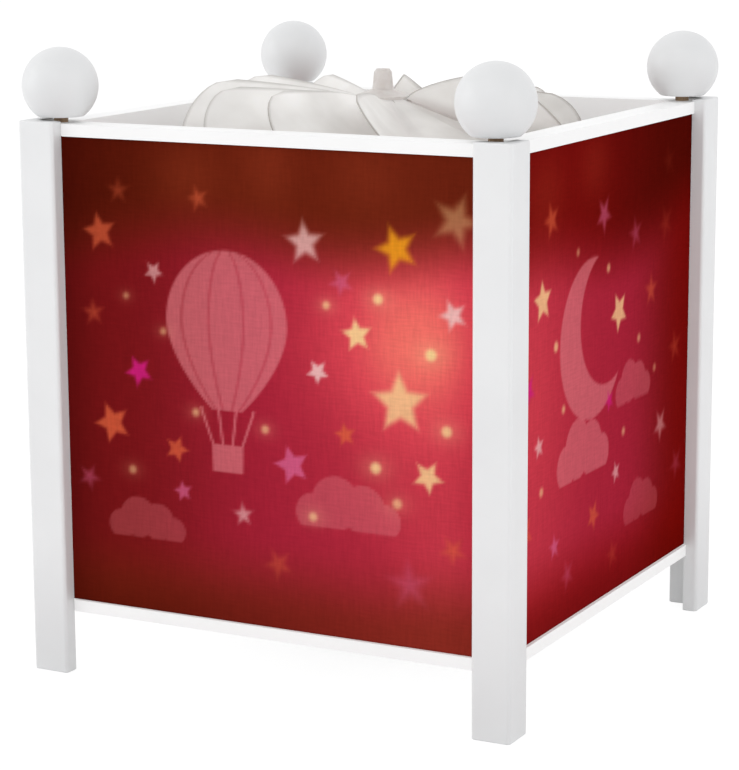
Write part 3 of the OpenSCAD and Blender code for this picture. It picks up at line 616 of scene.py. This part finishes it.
# Painted light: the printed film glows in its own inks, for the bulb's light through it.
PRINT_PAINTED_GLOW = 0.15
printed_film, nodes, links, shader, place = start_finish("printed_film")
ink_layer = nodes.new("ShaderNodeAttribute")
ink_layer.attribute_name = "ink"
warp = grain(nodes, links, place, THREAD_SCALE, 2, (1, 1, THREAD_STRETCH))
weft = grain(nodes, links, place, THREAD_SCALE, 2, (THREAD_STRETCH, THREAD_STRETCH, 1))
mottle = grain(nodes, links, place, 160, 3)
threads = nodes.new("ShaderNodeMath")
threads.operation = "ADD"
links.new(warp.outputs["Fac"], threads.inputs[0])
links.new(weft.outputs["Fac"], threads.inputs[1])
thread_tone = nodes.new("ShaderNodeMapRange")
thread_tone.inputs["From Min"].default_value = THREADS_THIN
thread_tone.inputs["From Max"].default_value = THREADS_THICK
thread_tone.inputs["To Min"].default_value = THREAD_DARK
thread_tone.inputs["To Max"].default_value = THREAD_LIGHT
links.new(threads.outputs[0], thread_tone.inputs["Value"])
ink_tone = nodes.new("ShaderNodeMix")
ink_tone.data_type, ink_tone.blend_type = "RGBA", "MULTIPLY"
ink_tone.inputs["Factor"].default_value = 1
links.new(ink_layer.outputs["Color"], ink_tone.inputs["A"])
links.new(thread_tone.outputs["Result"], ink_tone.inputs["B"])
links.new(ink_tone.outputs["Result"], shader.inputs["Base Color"])
links.new(ink_tone.outputs["Result"], shader.inputs["Emission Color"])
shader.inputs["Emission Strength"].default_value = PRINT_PAINTED_GLOW
shader.inputs["Specular IOR Level"].default_value = 0
roughen(nodes, links, shader, mottle.outputs["Fac"], 0.5, 0.6)
relief(nodes, links, shader, [(threads.outputs[0], THREAD_DEPTH, 0.3)])

# Every sheet is the front one's grid, turned about the lamp's middle.
low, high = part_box("printed_sheet_front")
for side, turn, sheet_print in (("front", 0, balloon_print), ("right", 90, moon_print),
                                ("back", 180, balloon_print), ("left", 270, moon_print)):
    bm = bmesh.new()
    bmesh.ops.create_grid(bm, x_segments=PRINT_COLUMNS, y_segments=PRINT_ROWS, size=0.5)
    bmesh.ops.scale(bm, verts=bm.verts, vec=(high.x - low.x, high.z - low.z, 1))
    stood = Matrix.Rotation(pi / 2, 3, "X")
    bmesh.ops.rotate(bm, verts=bm.verts, cent=(0, 0, 0), matrix=stood)
    bmesh.ops.translate(bm, verts=bm.verts, vec=(0, low.y, (low.z + high.z) / 2))
    flat = np.array([v.co for v in bm.verts])
    faced = Matrix.Rotation(radians(turn), 3, "Z")
    bmesh.ops.rotate(bm, verts=bm.verts, cent=(0, 0, 0), matrix=faced)
    sheet = finish_mesh(
        f"print_{side}", bm, printed_film, "case", f"printed_sheet_{side}")
    shades = np.clip(sheet_print(flat[:, 0] * 1000, (flat[:, 2] - low.z) * 1000), 0, 1)
    # The inks are written as screen values; the attribute holds linear ones.
    linear = np.where(shades <= 0.04045, shades / 12.92, ((shades + 0.055) / 1.055) ** 2.4)
    opaque = np.column_stack([linear, np.ones(len(linear))])
    ink = sheet.data.color_attributes.new("ink", "FLOAT_COLOR", "POINT")
    ink.data.foreach_set("color", opaque.astype(np.float32).ravel())
    wall = sheet.modifiers.new("film", "SOLIDIFY")
    wall.thickness, wall.offset = high.y - low.y, -1

# ---- Wiring under the board -------------------------------------------------------------
# A moulded white cover over the lampholder's terminals, held by four zinc-plated screws,
# with a black rubber gland pushed into its back wall where the cord goes in.
moulded, nodes, links, shader, place = start_finish("moulded_white")
pebble = grain(nodes, links, place, 2200, 3)
cast = grain(nodes, links, place, 60, 2)
base_colour(
    nodes, links, shader, cast.outputs["Fac"], (0.78, 0.78, 0.76), (0.84, 0.84, 0.825))
roughen(nodes, links, shader, pebble.outputs["Fac"], 0.38, 0.52)
relief(nodes, links, shader, [(pebble.outputs["Fac"], 0.00006, 0.3)])
dress("wiring_cover", moulded)


def metal(name, dark, light, rough_low, rough_high, brushed=(1, 1, 1), scale=900):
    """Bare metal with fine tool marks and a thin uneven tarnish."""
    material, nodes, links, shader, place = start_finish(name)
    marks = grain(nodes, links, place, scale, 4, brushed)
    tarnish = grain(nodes, links, place, 110, 4)
    base_colour(nodes, links, shader, tarnish.outputs["Fac"], dark, light)
    roughen(nodes, links, shader, marks.outputs["Fac"], rough_low, rough_high)
    shader.inputs["Metallic"].default_value = 1
    relief(nodes, links, shader, [(marks.outputs["Fac"], 0.00004, 0.3)])
    return material


zinc = metal("zinc_plate", (0.52, 0.53, 0.55), (0.7, 0.71, 0.72), 0.24, 0.4)
for node in ("cover_screws", "lampholder_screws", "pivot_nuts"):
    dress(node, zinc)

rubber, nodes, links, shader, place = start_finish("black_rubber")
skin = grain(nodes, links, place, 1500, 4)
base_colour(
    nodes, links, shader, skin.outputs["Fac"], (0.018, 0.018, 0.019), (0.04, 0.04, 0.042))
roughen(nodes, links, shader, skin.outputs["Fac"], 0.55, 0.75)
relief(nodes, links, shader, [(skin.outputs["Fac"], 0.00006, 0.4)])
dress("cord_gland", rubber)


def plastic(name, dark, light, rough_low, rough_high):
    """Moulded plastic with a fine matt skin."""
    material, nodes, links, shader, place = start_finish(name)
    skin = grain(nodes, links, place, 1800, 3)
    cast = grain(nodes, links, place, 90, 2)
    base_colour(nodes, links, shader, cast.outputs["Fac"], dark, light)
    roughen(nodes, links, shader, skin.outputs["Fac"], rough_low, rough_high)
    relief(nodes, links, shader, [(skin.outputs["Fac"], 0.00005, 0.3)])
    return material


dress("terminal_block", plastic("terminal_plastic", (0.6, 0.61, 0.6), (0.68, 0.69, 0.68), 0.4, 0.5))
dress("lampholder_leads", plastic("lead_sleeving", (0.2, 0.07, 0.03), (0.27, 0.1, 0.05), 0.35, 0.5))

# ---- Lampholder and bulb ----------------------------------------------------------------
# A moulded lampholder, screwed down onto the board, with a pressed brass sleeve and contact,
# and a small clear bulb whose metal cap screws into the sleeve.
holder = plastic("lampholder_plastic", (0.74, 0.73, 0.69), (0.8, 0.79, 0.76), 0.3, 0.42)
dress("lampholder_body", holder)
brass = metal("brass", (0.6, 0.42, 0.17), (0.8, 0.62, 0.3), 0.2, 0.36)
for node in ("lampholder_sleeve", "lampholder_contact", "bearing_cup"):
    dress(node, brass)
cap_metal = metal("cap_metal", (0.6, 0.6, 0.59), (0.76, 0.75, 0.73), 0.18, 0.34, (1, 1, 9))
dress("bulb_cap", cap_metal)

glass, nodes, links, shader, place = start_finish("bulb_glass")
haze = grain(nodes, links, place, 240, 3)
base_colour(nodes, links, shader, haze.outputs["Fac"], (0.95, 0.95, 0.93), (1, 1, 1))
roughen(nodes, links, shader, haze.outputs["Fac"], 0.01, 0.05)
shader.inputs["Transmission Weight"].default_value = 1
shader.inputs["IOR"].default_value = 1.5
relief(nodes, links, shader, [(haze.outputs["Fac"], 0.0001, 0.05)])
dress("bulb_glass", glass)
dress("bulb_filament", metal("filament_wire", (0.3, 0.3, 0.31), (0.5, 0.5, 0.51), 0.3, 0.5))

# ---- Pivot ------------------------------------------------------------------------------
# A spring wire bent over the bulb, its feet clamped to the board by nuts, with a ground steel
# needle in the ferrule on its top.
wire = metal(
    "spring_wire", (0.5, 0.51, 0.53), (0.68, 0.69, 0.7), 0.22, 0.36, (1, 1, 0.08))
dress("pivot_wire", wire)
needle = metal("needle_steel", (0.55, 0.56, 0.58), (0.72, 0.73, 0.74), 0.12, 0.22)
dress("pivot_needle", needle)

# ---- Film cylinder ----------------------------------------------------------------------
# A rolled translucent film, frosted at its top and printed with soft pink spots below, with
# a hoop at its foot and a card collar at its top.
FROST_FROM, FROST_TO = 0.1, 0.12
FROST = (0.84, 0.82, 0.8, 1)
SPOT_PINK, SPOT_GROUND = (0.9, 0.62, 0.6), (0.55, 0.08, 0.12)
DRUM_LIGHT, DRUM_GLOW = (0.9, 0.88, 0.86, 1), 0.3
drum, nodes, links, shader, place = start_finish("drum_film")
spots = nodes.new("ShaderNodeTexVoronoi")
spots.inputs["Scale"].default_value = 70
links.new(place.outputs["Object"], spots.inputs["Vector"])
drum_print = tint(nodes, links, spots.outputs["Distance"], SPOT_PINK, SPOT_GROUND, 0.12, 0.4)
height = nodes.new("ShaderNodeSeparateXYZ")
links.new(place.outputs["Object"], height.inputs["Vector"])
frosted = nodes.new("ShaderNodeMapRange")
frosted.inputs["From Min"].default_value = FROST_FROM
frosted.inputs["From Max"].default_value = FROST_TO
links.new(height.outputs["Z"], frosted.inputs["Value"])
drum_tone = nodes.new("ShaderNodeMix")
drum_tone.data_type = "RGBA"
links.new(frosted.outputs["Result"], drum_tone.inputs["Factor"])
links.new(drum_print, drum_tone.inputs["A"])
drum_tone.inputs["B"].default_value = FROST
links.new(drum_tone.outputs["Result"], shader.inputs["Base Color"])
# Painted light: the frosted top glows a little, as if lit by the bulb inside.
shader.inputs["Emission Color"].default_value = DRUM_LIGHT
lit_top = nodes.new("ShaderNodeMapRange")
lit_top.inputs["To Max"].default_value = DRUM_GLOW
links.new(frosted.outputs["Result"], lit_top.inputs["Value"])
links.new(lit_top.outputs["Result"], shader.inputs["Emission Strength"])
scuff = grain(nodes, links, place, 500, 4)
roughen(nodes, links, shader, scuff.outputs["Fac"], 0.28, 0.45)
shader.inputs["Transmission Weight"].default_value = 0.25
relief(nodes, links, shader, [(scuff.outputs["Fac"], 0.00004, 0.2)])
dress("film_cylinder", drum)

card = plastic("rotor_card", (0.8, 0.79, 0.77), (0.86, 0.855, 0.84), 0.5, 0.66)
dress("cylinder_hoop", card)
dress("turbine_collar", card)

# ---- Turbine ----------------------------------------------------------------------------
# Twelve vanes pressed from thin translucent film. The lower edge of each laps along the
# collar's cone under the next one; its upper edge lifts and curls, and its corner is round.
# Angles in degrees and lengths in mm, apart from the film's thickness in metres. The two
# rises say how soon from the hub a longer lap, or one that lies over, is fully there.
VANE_PHASE, VANE_PITCH = 13.5, 30.0
VANE_SPAN, RIM_LAP, ROOT_LAP, LAP_SPREAD = 26.1, 25.0, 5.0, 0.5
VANE_COLUMNS, VANE_ROWS, ROW_CROWDING = 44, 36, 0.8
FILM_T = 0.00045
ROOT_R, CLAMP_R, RIM_R = 4.0, 9.0, 64.3
HUB_Z, VANE_FALL, CURL = 178.0, 22.0, 1.5
TIP_FROM_R, TIP_LENGTH, TIP_BEND, TIP_NARROWING = 42, 22, 1.3, 3
UNDER, UNDER_TO_R, UNDER_TURN = 0.4, 24, 3
FURTHER_RISE, OVER_RISE, OVER_TURN = 4, 6, 3
# Painted shade: the vanes darken towards each lap, under the next vane's lifted edge, less where a
# lap lies over.
LAP_SHADE_FROM, LAP_SHADE_OUT, LAP_SHADE_CURVE = 16, 0.7, 1.1
LAP_SHADE, OVERLAID_SHADE, EDGE_SHADE = 0.7, 0.36, 0.45
FREE_FROM = 0.999
VANE_SHARP = 60
# Lift of the upper edge, its puff, the corner's radius, how far that corner splays and droops,
# how much further the vane laps, and how far its lap lies over the next vane instead of under
# it: each is bent by hand, so no two are alike.
VANE_FORMS = [
    (33, 0.76, 17, 0, 10, 0, 0), (24, 0.95, 17, 0, 0, 0, 0), (24, 1, 17, 0, 0, 0, 0),
    (29.5, 1.15, 17, 0, 0, 0, 0), (28.5, 1.05, 7, 11, 18, 0, 0), (25.5, 0.9, 17, 0, 0, 0, 0),
    (27, 0.9, 17, 0, 0, 0, 0), (27, 0.85, 17, 0, 0, 0, 0), (26.5, 0.85, 17, 0, 0, 0, 0),
    (26.5, 0.8, 17, 0, 0, 0, 0), (26, 0.8, 17, 0, 0, 10, 1.1), (0, 1, 17, 0, 0, 0, 0)]


def translucent(nodes, links, shader, colour, share):
    """Lets a share of the light through a film, in the film's own colour."""
    through = nodes.new("ShaderNodeBsdfTranslucent")
    links.new(colour, through.inputs["Color"])
    both = nodes.new("ShaderNodeMixShader")
    both.inputs[0].default_value = share
    links.new(shader.outputs[0], both.inputs[1])
    links.new(through.outputs[0], both.inputs[2])
    links.new(both.outputs[0], nodes["Material Output"].inputs["Surface"])


def film(name, dark, light, share, painted_bulb_glow, painted_lap_shade=None):
    """Cast film: soft clouding, fine scuffs, the light that comes through it with a painted glow, a
    darker tone by its free edges, and painted shade towards a lap, under the next vane's lifted
    edge."""
    material, nodes, links, shader, place = start_finish(name)
    cast = grain(nodes, links, place, 60, 3)
    scuff = grain(nodes, links, place, 700, 4)
    tone = tint(nodes, links, cast.outputs["Fac"], dark, light)
    # Painted shade: the "fold" attribute darkens the film towards a lap.
    if painted_lap_shade:
        fold = nodes.new("ShaderNodeAttribute")
        fold.attribute_name = "fold"
        dip = nodes.new("ShaderNodeMix")
        dip.data_type = "RGBA"
        links.new(fold.outputs["Fac"], dip.inputs["Factor"])
        links.new(tone, dip.inputs["A"])
        dip.inputs["B"].default_value = (*painted_lap_shade, 1)
        tone = dip.outputs["Result"]
    links.new(tone, shader.inputs["Base Color"])
    roughen(nodes, links, shader, scuff.outputs["Fac"], 0.34, 0.5)
    shader.inputs["Specular IOR Level"].default_value = 0.35
    # Painted light: the film glows a little, for the bulb's light from below.
    links.new(tone, shader.inputs["Emission Color"])
    shader.inputs["Emission Strength"].default_value = painted_bulb_glow
    relief(nodes, links, shader, [
        (cast.outputs["Fac"], 0.0008, 0.25), (scuff.outputs["Fac"], 0.00004, 0.2)])
    translucent(nodes, links, shader, tone, share)
    return material


def held(value):
    """A value kept between 0 and 1."""
    return min(1, max(0, value))


vane_film = film(
    "vane_film", (0.84, 0.83, 0.815), (0.96, 0.955, 0.945), 0.5, 0.18, (0.47, 0.44, 0.41))
vane_edge = film("vane_cut_edge", (0.46, 0.43, 0.4), (0.56, 0.53, 0.5), 0.15, 0.03)

bm = bmesh.new()
fold = bm.verts.layers.float.new("fold")
for k, (lift, puff, corner_r, splay, droop, further, over) in enumerate(VANE_FORMS):
    made = bmesh.ops.create_grid(bm, x_segments=VANE_COLUMNS, y_segments=VANE_ROWS, size=0.5)
    for v in made["verts"]:
        # Share runs from the tucked edge to the lifted one, and row from the hub to the rim.
        share, row = v.co.x + 0.5, v.co.y + 0.5
        width = RIM_R * radians(VANE_SPAN + RIM_LAP)
        past = max(0, share * width - (width - corner_r))
        reach = RIM_R - corner_r + sqrt(max(0, corner_r ** 2 - past ** 2))
        r = ROOT_R + (reach - ROOT_R) * row ** ROW_CROWDING
        out = max(0, r - CLAMP_R) / (RIM_R - CLAMP_R)
        lap = ROOT_LAP + (RIM_LAP - ROOT_LAP) * out ** LAP_SPREAD
        lap = lap + further * held(FURTHER_RISE * out)
        turn = lap - share * (VANE_SPAN + lap)
        raised = max(0, -turn) / VANE_SPAN
        tip = max(0, (r - TIP_FROM_R) / TIP_LENGTH) ** TIP_BEND * raised ** TIP_NARROWING
        z = HUB_Z - VANE_FALL * (r - ROOT_R) / (RIM_R - ROOT_R)
        z = z + lift * out ** puff * raised ** CURL - droop * tip
        z = z - UNDER * max(0, 1 - r / UNDER_TO_R) * held(turn / UNDER_TURN)
        z = z + over * held(OVER_RISE * out) * held((turn + OVER_TURN) / (2 * OVER_TURN))
        # Painted shade towards the lap, under the next vane's lifted edge.
        painted_lap_shade = held((turn + LAP_SHADE_FROM) / LAP_SHADE_FROM) ** LAP_SHADE_CURVE
        shade = OVERLAID_SHADE if over else LAP_SHADE
        free_edge = share > FREE_FROM or (row > FREE_FROM and turn < 0)
        v[fold] = EDGE_SHADE if free_edge else shade * out ** LAP_SHADE_OUT * painted_lap_shade
        angle = radians(VANE_PHASE + VANE_PITCH * k + turn - splay * tip)
        v.co = (r * cos(angle) / 1000, r * sin(angle) / 1000, z / 1000)
bmesh.ops.recalc_face_normals(bm, faces=bm.faces)
for f in bm.faces:
    f.normal_update()
if sum(f.normal.z for f in bm.faces) < 0:
    bmesh.ops.reverse_faces(bm, faces=bm.faces)
vanes = finish_mesh(
    "vanes", bm, vane_film, "rotor", "turbine_vanes", VANE_SHARP)
vanes.data.materials.append(vane_edge)
wall = vanes.modifiers.new("film", "SOLIDIFY")
wall.thickness, wall.offset, wall.material_offset_rim = FILM_T, 1, 1

# The hub: a clear tapered cap over the vanes' roots and a moulded seat under them.
clear, nodes, links, shader, place = start_finish("clear_plastic")
flow = grain(nodes, links, place, 420, 3)
base_colour(nodes, links, shader, flow.outputs["Fac"], (0.8, 0.74, 0.7), (0.9, 0.86, 0.83))
roughen(nodes, links, shader, flow.outputs["Fac"], 0.3, 0.42)
shader.inputs["Transmission Weight"].default_value = 0.3
shader.inputs["IOR"].default_value = 1.45
relief(nodes, links, shader, [(flow.outputs["Fac"], 0.00003, 0.1)])
for node in ("hub_cap", "hub_seat"):
    dress(node, clear)

# ---- Sizes ------------------------------------------------------------------------------
low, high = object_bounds()
